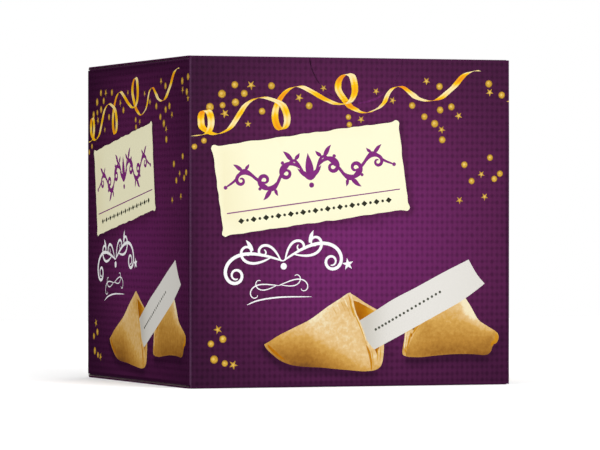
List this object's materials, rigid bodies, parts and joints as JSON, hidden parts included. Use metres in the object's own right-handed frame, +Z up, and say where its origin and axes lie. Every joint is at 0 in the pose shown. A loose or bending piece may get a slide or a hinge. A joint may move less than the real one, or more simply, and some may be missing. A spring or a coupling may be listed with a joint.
{
  "type": "fortune cookie carton",
  "caption": "Shut square folding carton of printed board for fortune cookies, with tuck-end lid and base and a half-moon tear tab in the front.",
  "frame": {"origin": "middle of the base, on the surface that the carton stands on", "axes": "+Z up, -Y out of the front panel with the tear tab, +X to the right as seen from the front"},
  "size_m": [0.104, 0.104, 0.1],
  "materials": {
    "printed_board": "offset print in plum, gold and cream under a satin varnish"
  },
  "bodies": {
    "root": {"carton": "printed_board"}
  },
  "joints": []
}
